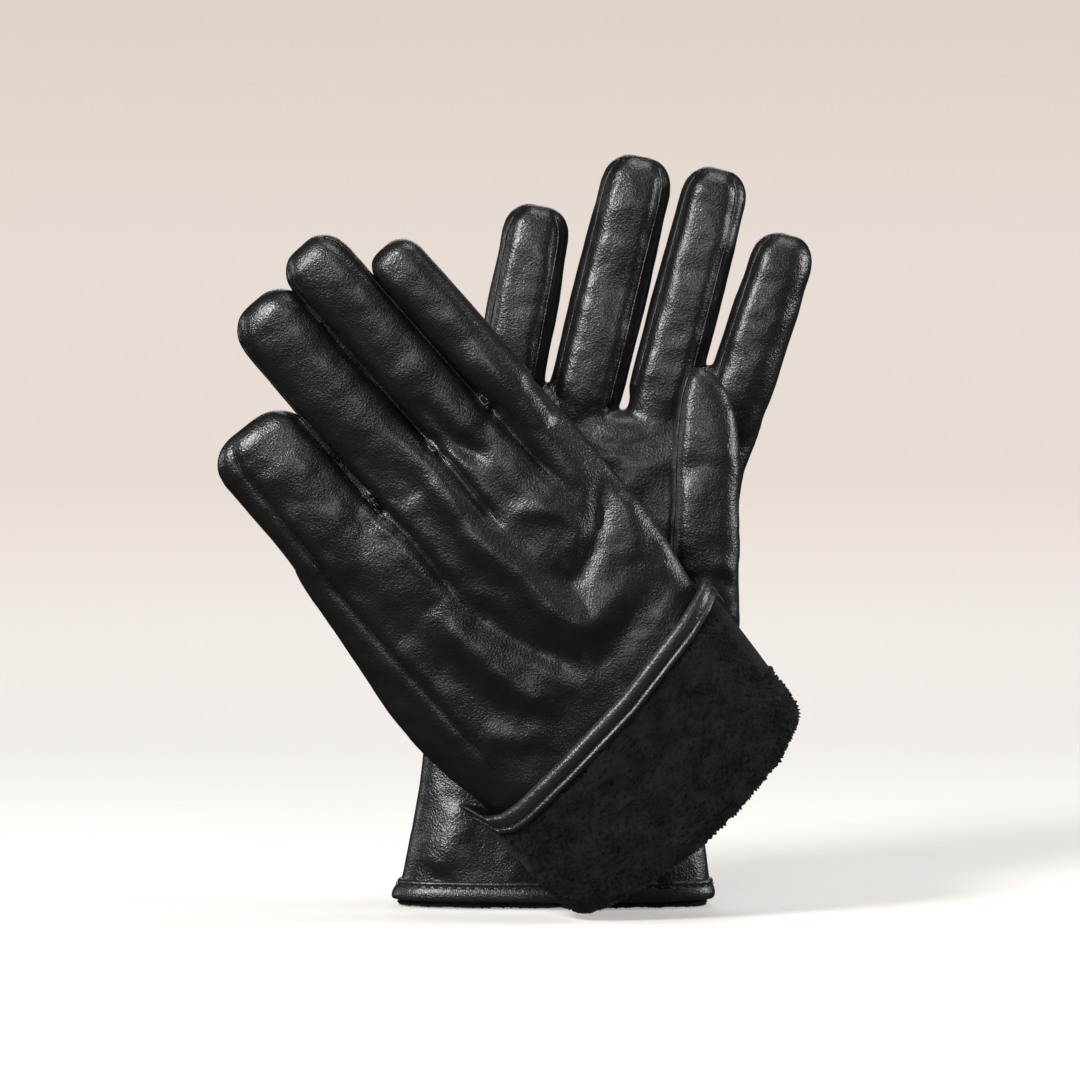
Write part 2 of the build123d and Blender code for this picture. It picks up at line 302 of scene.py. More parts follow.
def add_loft(bm, rings, segments, matrix=Matrix.Identity(4)):
    """A closed body of rings bridged in order."""
    loops = [add_ring(bm, ring, segments, matrix) for ring in rings]
    for (_, low), (_, high) in zip(loops, loops[1:]):
        bmesh.ops.bridge_loops(bm, edges=low + high)
    for verts, _ in (loops[0], loops[-1]):
        bmesh.ops.contextual_create(bm, geom=verts)
    bmesh.ops.recalc_face_normals(bm, faces=bm.faces)


def object_from(bm, name, smooth=True):
    mesh = bpy.data.meshes.new(name)
    bm.to_mesh(mesh)
    bm.free()
    mesh.polygons.foreach_set("use_smooth", [smooth] * len(mesh.polygons))
    made = bpy.data.objects.new(name, mesh)
    bpy.context.scene.collection.objects.link(made)
    return made


# %% [markdown]
# ## A finger
# The tube runs from inside the hand to the fingertip. It narrows a little towards the tip and closes over a
# rounded box rather than a dome.

# %% Finger and hand bodies
FINGER_FIELDS = "name width front back shift drift power taper spread"
Finger = namedtuple("Finger", FINGER_FIELDS, defaults=(0.045, 0.0))
# A finger's stations above its hinge, each with its share of the full width and depth.
STATIONS = ((-26, 0.80), (-19, 0.91), (-11, 0.985), (-4, 1.0), (8, 0.99), (20, 1.0), (32, 1.0), (44, 0.99))
TIP_STEPS = (0.25, 0.45, 0.62, 0.76, 0.87, 0.95, 1.0)


def centre(finger, y):
    """The finger's middle line across its axis. It drifts to one side towards the tip."""
    return finger.shift + finger.drift * (y + 15)


def finger_rings(finger, reach, inset):
    """The finger's rings on its own axes, from inside the hand to the tip."""
    tip_round, corner, full = min(finger.width * 0.46, 11.0) - inset, 0.74, 1 - finger.taper
    rows = [(y, share, share) for y, share in STATIONS if y < reach - tip_round * 1.7 - 4]
    rows += [(reach - tip_round * 1.7, full, 0.985), (reach - tip_round, full, 0.92)]
    for step in TIP_STEPS:
        angle = step * pi / 2
        drop = 1 - cos(angle)
        y = reach - tip_round * (1 - sin(angle)) - inset
        rows.append((y, full - corner * drop, 0.92 - 0.82 * drop))
    half, front, back = finger.width / 2 - inset, finger.front - inset, finger.back - inset
    rings = []
    for y, wide, deep in rows:
        middle = centre(finger, y)
        left, right = middle - half * wide, middle + half * wide
        rings.append(Ring(y, left, right, front * deep, back * deep, finger.power))
    return rings


RIGHT_FINGERS = (
    Finger("index", 22.6, 10.2, 10.2, 0.6, 0, 2.4),
    Finger("middle", 21.8, 10.4, 10.4, 0.4, 0, 2.4, 0.045, 0.9),
    Finger("ring", 23.6, 10.6, 10.6, 0.4, 0, 2.4, 0.045, 0.9),
    Finger("pinky", 22.2, 10.0, 10.0, -0.3, 0, 2.4, 0.045, 0.9),
)
RIGHT_HAND = rings_of(
    (-6, -56, 55.5, 14.6, 14.6, 2.6), (2, -54, 54, 14.4, 14.4, 2.6), (10, -51, 53.4, 14.0, 14.0, 2.6),
    (27, -47.4, 50.8, 13.4, 13.4, 2.5), (42, -45.0, 51.4, 12.8, 13.0, 2.5),
    (56, -43.6, 55.2, 12.6, 13.0, 2.4), (80, -43.4, 61.0, 13.2, 13.4, 2.3),
    (100, -43.2, 63.6, 13.6, 13.6, 2.3), (118, -40.6, 63.2, 13.6, 13.4, 2.3),
    (136, -36.0, 63.4, 13.4, 13.0, 2.3), (147, -32.6, 65.4, 12.8, 12.4, 2.3),
    (157, -29.6, 69.4, 12.0, 11.8, 2.3), (164, -26.0, 71.8, 9.4, 9.4, 2.2),
    (168, -20.0, 68.0, 4.0, 4.0, 2.0),
)
RIGHT_WEBS = (
    ((150, -3.5, 8, 10), (168, -2.5, 7, 9), (174, -1.8, 5, 6.5), (177.5, -1.6, 2.2, 2.5)),
    ((150, 21.5, 8, 10), (160, 22.3, 6, 8), (166, 22.8, 2.2, 2.5)),
    ((150, 46.0, 8, 10), (168, 50.5, 8, 9), (178, 52.6, 5.5, 6.5), (183, 53.0, 2.4, 2.5)),
)
LEFT_FINGERS = (
    Finger("index", 15.7, 9.8, 9.2, 2.0, -0.012, 2.5, 0.0, 1.25),
    Finger("middle", 21.1, 10.0, 9.4, 2.2, -0.004, 2.5, 0.0, 1.25),
    Finger("ring", 24.3, 10.1, 9.5, 2.1, 0.010, 2.4, 0.0, 1.35),
    Finger("pinky", 31.8, 9.9, 9.4, 3.6, -0.034, 2.4, 0.0, 1.35),
)
LEFT_HAND = rings_of(
    (-6, -46.0, 47.0, 11.0, 11.0, 2.6), (12, -46.5, 48.0, 11.0, 11.0, 2.6),
    (34, -47.5, 49.0, 11.2, 11.2, 2.5), (50, -50.0, 50.6, 11.6, 11.6, 2.4),
    (60, -52.2, 51.8, 12.2, 12.0, 2.3), (75, -53.6, 54.4, 12.8, 12.2, 2.2),
    (88, -53.4, 55.8, 12.8, 12.2, 2.2), (111, -50.6, 56.0, 12.4, 12.0, 2.2),
    (126, -49.0, 56.0, 11.4, 11.2, 2.3), (138, -47.8, 55.8, 10.0, 9.8, 2.4),
    (146, -46.5, 54.5, 8.4, 8.2, 2.3), (150, -42.0, 50.0, 4.0, 4.0, 2.0),
)
FINGER_SETS = {"right": RIGHT_FINGERS, "left": LEFT_FINGERS}
HANDS = {"right": RIGHT_HAND, "left": LEFT_HAND}
WEBS = {"right": RIGHT_WEBS, "left": ()}


def glove_volume(glove, inset, name):
    """The hand, its webs and its fingers as one overlapping mesh on the glove's own axes."""
    bm = bmesh.new()
    add_loft(bm, [grown(ring, -inset) for ring in HANDS[glove.side]], 64)
    for finger in FINGER_SETS[glove.side]:
        rings = finger_rings(finger, finger_reach(glove, finger.name), inset)
        add_loft(bm, rings, 40, finger_in_glove(glove, finger.name))
    for web in WEBS[glove.side]:
        add_loft(bm, [grown(Ring(t, s - w, s + w, d, d, 2.0), -inset) for t, s, w, d in web], 24)
    return object_from(bm, name)


# %% [markdown]
# ## One skin
# Separate tubes would show where they cross, and real glove leather runs on into the fingers. A voxel
# remesh welds the overlapping bodies into one even skin, and smoothing rounds the crotches.


# %% Weld the bodies into one skin
def applied(obj):
    """The object's mesh with its modifiers made real."""
    depsgraph = bpy.context.evaluated_depsgraph_get()
    mesh = bpy.data.meshes.new_from_object(obj.evaluated_get(depsgraph))
    obj.modifiers.clear()
    obj.data = mesh
    return obj


def welded(obj, voxel, soften):
    remesh = obj.modifiers.new("weld", "REMESH")
    remesh.mode, remesh.voxel_size = "VOXEL", voxel
    smooth = obj.modifiers.new("soften", "SMOOTH")
    smooth.factor, smooth.iterations = 0.5, soften
    return applied(obj)


def read_vectors(items, field):
    values = np.zeros(len(items) * 3)
    items.foreach_get(field, values)
    return values.reshape(-1, 3)


def coordinates(mesh):
    return read_vectors(mesh.vertices, "co")


def vertex_normals(mesh):
    return read_vectors(mesh.vertex_normals, "vector")


def set_coordinates(mesh, co):
    mesh.vertices.foreach_set("co", co.ravel())
    mesh.update()


def soften_band(obj, weight, iterations):
    """Smooths where weight is high, such as round the crotches."""
    group = obj.vertex_groups.new(name="band")
    for index, value in enumerate(weight):
        if value > 0.01:
            group.add([index], float(min(value, 1)), "REPLACE")
    smooth = obj.modifiers.new("band", "SMOOTH")
    smooth.factor, smooth.iterations, smooth.vertex_group = 0.5, iterations, "band"
    applied(obj)
    obj.vertex_groups.clear()
    return obj


def finger_places(glove, finger, points):
    """Points on a finger's own axes, and how far each lies outside the finger's sides."""
    inverse = finger_matrix(glove, finger.name).inverted() @ glove_matrix(glove)
    places = points @ np.array(inverse.to_3x3()).T + np.array(inverse.translation)
    across = places[:, 0] - centre(finger, places[:, 1])
    return places, across, np.abs(across) - finger.width / 2


def nearest_finger(glove, points):
    """The number of the finger that each point is nearest to, counting from 1."""
    apart = [finger_places(glove, finger, points)[2] for finger in FINGER_SETS[glove.side]]
    return np.argmin(np.array(apart), axis=0) + 1


def spread_fingers(skin, glove):
    """Widens each finger by its spread above the crotch, so that neighbours close up against each other."""
    co = coordinates(skin.data)
    nearest = nearest_finger(glove, co)
    for number, finger in enumerate(FINGER_SETS[glove.side], 1):
        if not finger.spread:
            continue
        places, across, beyond = finger_places(glove, finger, co)
        outside = np.clip(1 - beyond / (finger.spread + 0.1), 0, 1)
        share = np.where(beyond > 0, outside, np.abs(across) / (finger.width / 2))
        fade = np.clip((places[:, 1] + 13) / 4, 0, 1)
        move = np.sign(across) * share * finger.spread * fade * (nearest == number)
        axis = finger_in_glove(glove, finger.name).to_3x3() @ Vector((1, 0, 0))
        co += move[:, None] * np.array(axis)
    set_coordinates(skin.data, co)


def glove_skin(glove, inset, voxel, name):
    """One skin over the hand and fingers, whose faces carry their nearest finger's number."""
    skin = welded(glove_volume(glove, inset, name), voxel, 3)
    co = coordinates(skin.data)
    crotch = HANDS[glove.side][-1].height
    band = np.exp(-(((co[:, 1] - crotch + 4) / 16) ** 2))
    soften_band(skin, band, 14)
    middles = np.array([p.center for p in skin.data.polygons])
    mark = skin.data.attributes.new("finger", "INT", "FACE")
    mark.data.foreach_set("value", nearest_finger(glove, middles).astype(np.int32))
    print(name, "faces:", len(skin.data.polygons))
    return skin


# %% [markdown]
# ## Folds
# Worn leather keeps soft folds. Each one is a line on the glove with a height and a width, pushed out or in
# with a bell-shaped profile. Slow noise adds the swell of a stuffed glove.


# %% Fold and swell helpers
def line_distance(points, line):
    """Each point's distance to a broken line, and how near its ends it is, from 0 at an end to 1."""
    best = np.full(len(points), 1e9)
    fade = np.zeros(len(points))
    line = np.array(line, float)
    steps = np.linalg.norm(np.diff(line, axis=0), axis=1)
    total, run = steps.sum(), 0.0
    for a, b, step in zip(line, line[1:], steps):
        share = np.clip((points - a) @ (b - a) / step**2, 0, 1)
        distance = np.linalg.norm(points - (a + share[:, None] * (b - a)), axis=1)
        place = (run + share * step) / total
        nearer = distance < best
        best[nearer] = distance[nearer]
        fade[nearer] = place[nearer]
        run += step
    return best, np.clip(np.sin(np.clip(fade, 0, 1) * pi) * 1.8, 0, 1)


def smooth_line(points, steps):
    """A Catmull-Rom line through flat points."""
    pts = [Vector((*p, 0)) for p in points]
    pts = [pts[0] * 2 - pts[1]] + pts + [pts[-1] * 2 - pts[-2]]
    out = []
    for a, b, c, d in zip(pts, pts[1:], pts[2:], pts[3:]):
        square, cube = 2 * a - 5 * b + 4 * c - d, 3 * b - a - 3 * c + d
        for u in (k / steps for k in range(steps)):
            out.append(0.5 * ((2 * b) + (c - a) * u + square * u**2 + cube * u**3))
    return out + [pts[-2]]


def flat_line(points, steps):
    return [(p.x, p.y) for p in smooth_line(points, steps)]


def swell(co, seed, size):
    """Slow noise at each point, size in millimetres."""
    offset = Vector((seed * 17.3, seed * 7.7, seed * 3.1))
    return np.array([noise.fractal(Vector(p) / size + offset, 1.0, 2.0, 2) for p in co])


def fold(co, no, line, height, width):
    """A fold's push along the surface on the front face of the glove."""
    distance, fade = line_distance(co[:, :2], flat_line(line, 5))
    return height * np.exp(-((distance / width) ** 2)) * fade * np.clip(no[:, 2] * 1.6, 0, 1)


LEFT_FOLDS = (
    # ridges that run on from the fingers
    (((47.3, 167), (46.5, 144), (46.6, 121), (46.1, 105), (40.6, 97)), 1.2, 5.0),
    (((27.8, 160), (29.5, 139), (30.3, 117), (31.7, 100), (29.5, 93.6)), 0.9, 5.0),
    (
        ((11.0, 165), (9.0, 139), (7.0, 114), (10.4, 96), (11.4, 80), (16.5, 70.7), (25.2, 70.5), (34, 75)),
        2.2,
        5.0,
    ),
    (((-24.8, 185), (-25.2, 156), (-24.7, 128), (-22.3, 108)), 0.8, 8.0),
    (((-19.5, 108), (-17.8, 90), (-15.2, 73.4), (-10.1, 52)), 1.7, 4.6),
    (((20, 116), (28.3, 109), (34.1, 102.6), (33, 95), (26, 92)), 0.8, 3.0),
    (((-33, 66), (-25, 55), (-13.6, 53)), 0.8, 4.0),
    (((54, 96), (48, 84), (40, 76)), 1.0, 4.5),
    # hollows beside and below them
    (((39.3, 152), (39.1, 127), (40.2, 112)), -1.0, 3.0),
    (((15.8, 152), (15.2, 128), (15.6, 112)), -1.0, 3.0),
    (((-10.6, 150), (-9.2, 131), (-9.8, 102)), -1.1, 3.2),
    (((23.3, 163), (21.4, 152), (24.1, 140), (29, 132)), -1.2, 3.2),
    (((-9.9, 106), (-5.4, 84), (2, 68), (6, 57)), -1.7, 4.2),
    (((52, 106), (43.4, 94.7), (31.7, 86.5), (22, 84), (19, 92)), -1.6, 3.6),
    (((44, 68), (26, 60), (8, 58)), -0.9, 5.0),
    (((-30, 118), (-29, 96), (-26, 74), (-22, 58)), -0.9, 5.0),
)
RIGHT_FOLDS = (
    (((-40, 62), (-10, 66), (22, 62), (50, 68)), -1.8, 3.5),
    (((-38, 54), (-12, 57), (20, 54), (48, 58)), 1.3, 4.0),
    (((-36, 74), (-14, 74), (14, 70)), 1.2, 4.5),
    (((-34, 44), (-28, 56), (-30, 74)), -1.2, 3.0),
    (((-22, 40), (-18, 56), (-20, 78)), 1.0, 3.5),
    (((-6, 164), (10, 158), (30, 156), (52, 162)), -1.0, 4.0),
    (((-14, 150), (6, 146), (26, 147)), -0.9, 4.0),
    (((40, 30), (36, 20), (38, 10)), 0.8, 5.0),
    (((-30, 36), (-34, 22), (-40, 10)), 0.8, 5.0),
)

# %% [markdown]
# ## Seams
# A glove's fingers are boxes: a back, a palm and side strips, with seams up each corner and round the tip.
# Leather pulls down along a seam and the stitched edge stands in the valley, so each seam is a valley in
# the skin with a thin bead in it.

# %% Seam lines
Seam = namedtuple("Seam", "owner line front depth")


SEAM_START = -12.0  # a finger's seams begin below its hinge


def finger_seam(glove, finger, side, front, inset):
    """The seam up one side of a finger to the corner of its tip, on the glove's own axes."""
    top = finger_reach(glove, finger.name)
    x = side * (finger.width / 2 + finger.spread - inset)
    path = [(x, SEAM_START), (x, SEAM_START * 0.5 + top * 0.25), (x, top * 0.6), (x, top - 15)]
    path += [(x - side * 0.7, top - 8), (x - side * 3.0, top - 2.8)]
    change = finger_in_glove(glove, finger.name)
    line = [change @ Vector((px + centre(finger, py), py, 0)) for px, py in path]
    return Seam(finger.name, [(p.x, p.y) for p in line], front, 0.6)


# Each finger's seams: its side (-1 is towards the little finger), the face they show on, and their inset.
LEFT_SIDES = (
    ("middle", -1, 1, 0.9), ("middle", 1, 1, 0.9), ("ring", -1, 1, 0.9), ("pinky", 1, 1, 0.9),
    ("pinky", -1, 1, 7.4), ("index", -1, -1, 1.4), ("middle", -1, -1, 1.4), ("middle", 1, -1, 1.4),
    ("ring", -1, -1, 1.4), ("ring", 1, -1, 1.4), ("pinky", -1, -1, 1.4), ("pinky", 1, -1, 1.4),
)
RIGHT_SIDES = tuple(
    (name, side, front, inset)
    for name in ("index", "middle", "ring", "pinky")
    for side, front, inset in ((-1, 1, 2.4), (1, 1, 3.8), (-1, -1, 2.2), (1, -1, 2.2))
    if not (name == "index" and side == 1)
)


def seams_of(glove, sides):
    fingers = {f.name: f for f in FINGER_SETS[glove.side]}
    return [finger_seam(glove, fingers[name], side, front, inset) for name, side, front, inset in sides]


# The seams on the backs of the hands, each with its depth.
LEFT_POINTS = (
    (((38.4, 160), (38.6, 147), (38.9, 138), (39.1, 127.5), (40.0, 113.6), (41.6, 104.5)), 0.9),
    (((15.8, 160), (15.9, 147), (15.4, 138), (15.2, 127.8), (15.6, 110.4)), 0.9),
    (((15.7, 145), (17.2, 139.7), (16.9, 129.7), (16.5, 116.0)), 0.5),
    (((-10.6, 160), (-10.6, 147), (-9.6, 138), (-9.4, 128), (-9.8, 115.8), (-9.9, 101.5)), 0.9),
    (((-12.6, 147), (-11.6, 139), (-10.4, 131)), 0.5),
    (((-39.0, 165), (-39.4, 147), (-39.8, 130), (-39.6, 112), (-39.0, 92), (-38.4, 70), (-38.0, 53)), 0.8),
)
RIGHT_POINTS = (
    (((51, 180), (49, 164), (46.5, 144), (45, 124)), 0.9),
    (((22, 166), (20.5, 150), (19, 134), (18, 118)), 0.9),
    (((-2, 176), (-3.5, 158), (-5, 140), (-6, 122)), 0.9),
)


def points_of(lines, front):
    return [Seam("hand", line, front, depth) for line, depth in lines]


SEAMS = {
    "right": seams_of(RIGHT, RIGHT_SIDES) + points_of(RIGHT_POINTS, -1),
    "left": seams_of(LEFT, LEFT_SIDES) + points_of(LEFT_POINTS, 1),
}


def seam_push(co, no, seam):
    """The valley along a seam: leather pulled in at the line and puffed beside it."""
    distance, fade = line_distance(co[:, :2], flat_line(seam.line, 6))
    facing = np.clip(no[:, 2] * seam.front * 2.5, 0, 1) * (fade if seam.owner == "hand" else 1.0)
    valley, puff = np.exp(-((distance / 1.2) ** 2)), np.exp(-(((distance - 3.6) / 1.8) ** 2))
    return facing * (-seam.depth * valley + 0.3 * seam.depth * puff)


# %% Shape both skins
FOLD_STRENGTH = 1.2


def shaped_skin(glove, folds, seed):
    skin = glove_skin(glove, 0.0, 1.0, f"{glove.side}_skin")
    spread_fingers(skin, glove)
    co, no = coordinates(skin.data), vertex_normals(skin.data)
    push = (swell(co, seed, 26.0) + 0.45 * swell(co, seed + 3, 9.0)) * (0.25 + 0.75 * np.abs(no[:, 2]))
    for line, height, width in folds:
        push += fold(co, no, line, FOLD_STRENGTH * height, width)
    for seam in SEAMS[glove.side]:
        push += seam_push(co, no, seam)
    set_coordinates(skin.data, co + no * push[:, None])
    relax = skin.modifiers.new("relax", "SMOOTH")
    relax.factor, relax.iterations = 0.35, 1
    return applied(skin)


SKINS = {"right": shaped_skin(RIGHT, RIGHT_FOLDS, 1), "left": shaped_skin(LEFT, LEFT_FOLDS, 2)}

# %% [markdown]
# ## Cutting the skin at the fingers
# Each finger bends at its knuckle, so it is its own piece. The skin is cut square across each finger just
# above the crotch, and both sides keep the whole skin's normals so that the cut doesn't show.

# %% Cut the skin into hand and fingers
CUT = -9.0  # on the finger's own axes, so below its hinge
BEND_START = CUT + 0.3
BEND_END = 22.0
LEATHER_WALL, PLUSH_WALL = 0.9, 0.8


def faces_beyond(bm, matrix, number, low, keep_inside):
    """Faces of one finger above a height on its own axes. Each face carries its nearest finger's number."""
    inverse = matrix.inverted()
    mark = bm.faces.layers.int["finger"]

    def beyond(face):
        return face[mark] == number and (inverse @ face.calc_center_median()).y > low

    return [face for face in bm.faces if beyond(face) == keep_inside]


def cut_ready(skin, glove):
    """The skin as a bmesh, with its normals kept in a layer and a clean edge across every finger."""
    bm = bmesh.new()
    bm.from_mesh(skin.data)
    for number, finger in enumerate(FINGER_SETS[glove.side], 1):
        matrix = finger_in_glove(glove, finger.name)
        near = faces_beyond(bm, matrix, number, CUT - 3.0, True)
        geom = list({v for f in near for v in f.verts}) + list({e for f in near for e in f.edges}) + near
        place, normal = matrix @ Vector((0, CUT, 0)), matrix.col[1].xyz
        bmesh.ops.bisect_plane(bm, geom=geom, dist=0.0001, plane_co=place, plane_no=normal)
    bm.normal_update()
    layer = bm.verts.layers.float_vector.new("whole_normal")
    for v in bm.verts:
        v[layer] = v.normal
    return bm


def walled(obj, wall, material):
    thick = obj.modifiers.new("wall", "SOLIDIFY")
    thick.thickness, thick.offset = wall * MM, -1.0
    applied(obj)
    obj.data.polygons.foreach_set("use_smooth", [True] * len(obj.data.polygons))
    obj.data.materials.append(material)
    return obj


def finished(bm, glove, name, material, wall):
    """Moves a cut skin into the frame, gives it a wall and keeps the whole skin's normals."""
    loose = [v for v in bm.verts if not v.link_faces]
    bmesh.ops.delete(bm, geom=loose, context="VERTS")
    bmesh.ops.transform(bm, matrix=glove_matrix(glove), verts=bm.verts)
    obj = walled(object_from(bm, name), wall, material)
    turn = np.array(glove_matrix(glove).to_3x3().normalized())
    whole = read_vectors(obj.data.attributes["whole_normal"].data, "vector") @ turn.T
    side = np.sign((whole * vertex_normals(obj.data)).sum(axis=1))
    whole *= np.where(side == 0, 1, side)[:, None]
    obj.data.attributes.remove(obj.data.attributes["whole_normal"])
    obj.data.normals_split_custom_set_from_vertices(whole.tolist())
    return obj


def blend_between(piece, glove, digit, matrix, start, end):
    """Bakes the piece's placement into its mesh."""
    start, end = (tuple(matrix @ Vector((0, y, 0))) for y in (start, end))
    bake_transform(piece)
    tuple(start)
    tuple(end)


def blend_finger(piece, glove, name):
    blend_between(piece, glove, name, finger_matrix(glove, name), BEND_START, BEND_END)


Layer = namedtuple("Layer", "suffix material slot wall finger_nodes hand_nodes")
LEATHER_FINGER = ("back", "palm", "fourchette", "fourchettes")
LEATHER_HAND = ("back_panel", "palm_panel")
LEATHER_LAYER = Layer("leather", LEATHER, "leather", LEATHER_WALL, LEATHER_FINGER, LEATHER_HAND)
PLUSH_LAYER = Layer("plush", PLUSH, "plush", PLUSH_WALL, ("lining",), ("hand_lining",))


def split_skin(glove, skin, kind, low_plane):
    """Cuts a glove's skin into a hand and four fingers, attaches the hand to its body and hides the frame
    parts that the pieces cover.
    """
    whole = cut_ready(skin, glove)
    side = glove.side
    pieces = []
    for number, finger in enumerate(FINGER_SETS[side], 1):
        matrix = finger_in_glove(glove, finger.name)
        part = whole.copy()
        bmesh.ops.delete(part, geom=faces_beyond(part, matrix, number, CUT, False), context="FACES")
        piece = finished(part, glove, f"{side}_{finger.name}_{kind.suffix}", kind.material, kind.wall)
        blend_finger(piece, glove, finger.name)
        nodes = [f"{side}_{finger.name}_{end}" for end in kind.finger_nodes]
        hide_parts(*[node for node in frame["nodes"] if node in nodes])
        bmesh.ops.delete(whole, geom=faces_beyond(whole, matrix, number, CUT, True), context="FACES")
        pieces.append(piece)
    geom = list(whole.verts) + list(whole.edges) + list(whole.faces)
    place, normal = low_plane
    bmesh.ops.bisect_plane(whole, geom=geom, dist=0.0001, plane_co=place, plane_no=normal, clear_inner=True)
    hand = finished(whole, glove, f"{side}_hand_{kind.suffix}", kind.material, kind.wall)
    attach(hand, f"{side}_hand")
    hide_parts(*[f"{side}_{end}" for end in kind.hand_nodes])
    bpy.data.objects.remove(skin)
    pieces.append(hand)
    print(side, kind.suffix, [(p.name, len(p.data.polygons)) for p in pieces])
    return pieces


def level_plane(glove, height):
    """A plane level in the frame at a height in millimetres, on the glove's own axes."""
    inverse = glove_matrix(glove).inverted()
    place = inverse @ Vector((glove.origin.x, glove.origin.y, height * MM))
    return place, (inverse.to_3x3() @ Vector((0, 0, 1))).normalized()


def surface_of(objects, matrix):
    """A search tree over finished pieces, on a glove's or a thumb's own axes."""
    inverse, places, faces = matrix.inverted(), [], []
    for obj in objects:
        start = len(places)
        places += [inverse @ v.co for v in obj.data.vertices]
        faces += [tuple(start + i for i in p.vertices) for p in obj.data.polygons]
    return BVHTree.FromPolygons(places, faces)


SURFACES = {}
PLUSH_LOW = (Vector((0, 42.0, 0)), Vector((0, 1, 0)))
LOW = {"right": level_plane(RIGHT, 7.0), "left": (Vector((0, 0.5, 0)), Vector((0, 1, 0)))}
for glove in (RIGHT, LEFT):
    side = glove.side
    pieces = split_skin(glove, SKINS[side], LEATHER_LAYER, LOW[side])
    SURFACES[side] = surface_of(pieces, glove_matrix(glove))
    split_skin(glove, glove_skin(glove, 2.4, 2.4, f"{side}_inner"), PLUSH_LAYER, PLUSH_LOW)

# %% [markdown]
# ## Seam beads
# The bead is a thin tube dropped on the leather along each seam line, from the front or the back, so it
# follows every fold.


# %% Lay the seam beads
NO_TOP = 1e9
BEAD_RADIUS, BEAD_LIFT = 0.3, 0.08


def dropped(tree, line, front, top):
    """Points of a line on the piece's own axes, dropped on the skin from one side, up to a height."""
    found = []
    for p in smooth_line(line, 10):
        if p.y > top:
            continue
        hit, normal, _, _ = tree.ray_cast(Vector((p.x, p.y, 60.0 * front)), Vector((0, 0, -front)))
        if hit is None or abs(normal.z) < 0.3:
            continue
        if not found or (hit - found[-1][0]).length > 0.15:
            found.append((hit + normal * BEAD_LIFT, normal))
    return found


def add_tube(bm, points):
    """A thin tube along points, with closed ends."""
    places = [p for p, _ in points]
    final = len(places) - 1
    before = None
    for index, (p, normal) in enumerate(points):
        ahead = (places[min(index + 1, final)] - places[max(index - 1, 0)]).normalized()
        side = ahead.cross(normal).normalized()
        turn = Matrix((side, side.cross(ahead) * -1, ahead)).transposed().to_4x4()
        size = BEAD_RADIUS * (0.35 if index in (0, final) else 1.0)
        matrix = Matrix.Translation(p) @ turn
        ring = bmesh.ops.create_circle(bm, cap_ends=False, radius=size, segments=6, matrix=matrix)["verts"]
        edges = list({e for v in ring for e in v.link_edges})
        if before:
            bmesh.ops.bridge_loops(bm, edges=before + edges)
        if index in (0, final):
            bmesh.ops.contextual_create(bm, geom=ring)
        before = edges


def bead_piece(name, tree, matrix, seams, top=NO_TOP):
    """One piece with a bead along each seam line."""
    bm = bmesh.new()
    for seam in seams:
        points = dropped(tree, seam.line, seam.front, top)
        if len(points) > 2:
            add_tube(bm, points)
    bmesh.ops.recalc_face_normals(bm, faces=bm.faces)
    bmesh.ops.transform(bm, matrix=matrix, verts=bm.verts)
    piece = object_from(bm, name)
    piece.data.materials.append(LEATHER)
    return piece


HAND_TOPS = {"right": 164.0, "left": 145.0}  # a hand's beads end under its fingers' own
for glove in (RIGHT, LEFT):
    side = glove.side
    for owner in ("index", "middle", "ring", "pinky", "hand"):
        owned = [seam for seam in SEAMS[side] if seam.owner == owner]
        top = HAND_TOPS[side] if owner == "hand" else NO_TOP
        piece = bead_piece(f"{side}_{owner}_seams", SURFACES[side], glove_matrix(glove), owned, top)
        if owner == "hand":
            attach(piece, f"{side}_hand")
        else:
            blend_finger(piece, glove, owner)
        print(piece.name, len(piece.data.polygons))

# %% [markdown]
# ## Thumbs
# A thumb is cut apart from the hand and set into a hole in the palm. It is lofted on its own axes, from a
# foot under the palm's skin to a narrow tip.


# %% Thumb shapes
def thumb_matrix(glove):
    """The thumb's own axes: x across, y to its tip, z away from the palm, with its hinge at the origin."""
    hinge = Vector(JOINTS[f"{glove.side}_thumb_spread"]["pos_m"])
    nodes = [frame["nodes"][f"{glove.side}_thumb_{part}"] for part in ("outer", "inner")]
    places = np.vstack([coordinates(node.data) for node in nodes])
    spread = np.linalg.svd(places - places.mean(axis=0), full_matrices=False)[2][0]
    along, outward = Vector(spread), glove.front * glove.palm
    far = Vector(places[np.argmax(((places - np.array(hinge)) ** 2).sum(axis=1))]) - hinge
    along = (along * (1 if along.dot(far) > 0 else -1)).normalized()
    along = (along - outward * along.dot(outward)).normalized()
    return axes_matrix(hinge, along.cross(outward), along, outward)


THUMB_RINGS = rings_of(
    (-35, -4.0, 7.0, 2.0, 2.0, 2.0, -12.0), (-31, -9.5, 11.0, 4.0, 4.0, 2.2, -11.0),
    (-20, -13.2, 13.8, 7.2, 5.0, 2.3, -7.5), (-8, -12.8, 13.6, 8.4, 7.0, 2.4, -3.0),
    (6, -11.6, 13.3, 8.4, 7.4, 2.4, -0.2), (20, -10.6, 13.4, 8.2, 7.4, 2.4, 0.2),
    (32, -10.2, 13.5, 8.0, 7.4, 2.4, 0.2), (44, -9.8, 13.0, 7.8, 7.2, 2.4, 0.0),
    (54, -9.2, 12.6, 7.4, 6.8, 2.4, 0.0), (62, -8.4, 11.2, 6.6, 6.2, 2.3, 0.0),
    (69, -7.0, 8.4, 5.4, 5.2, 2.2, 0.0), (73.5, -5.6, 5.0, 3.8, 3.6, 2.1, 0.0),
    (76, -4.0, 1.2, 1.6, 1.6, 2.0, 0.0),
)
THUMB_LENGTH = 76.0
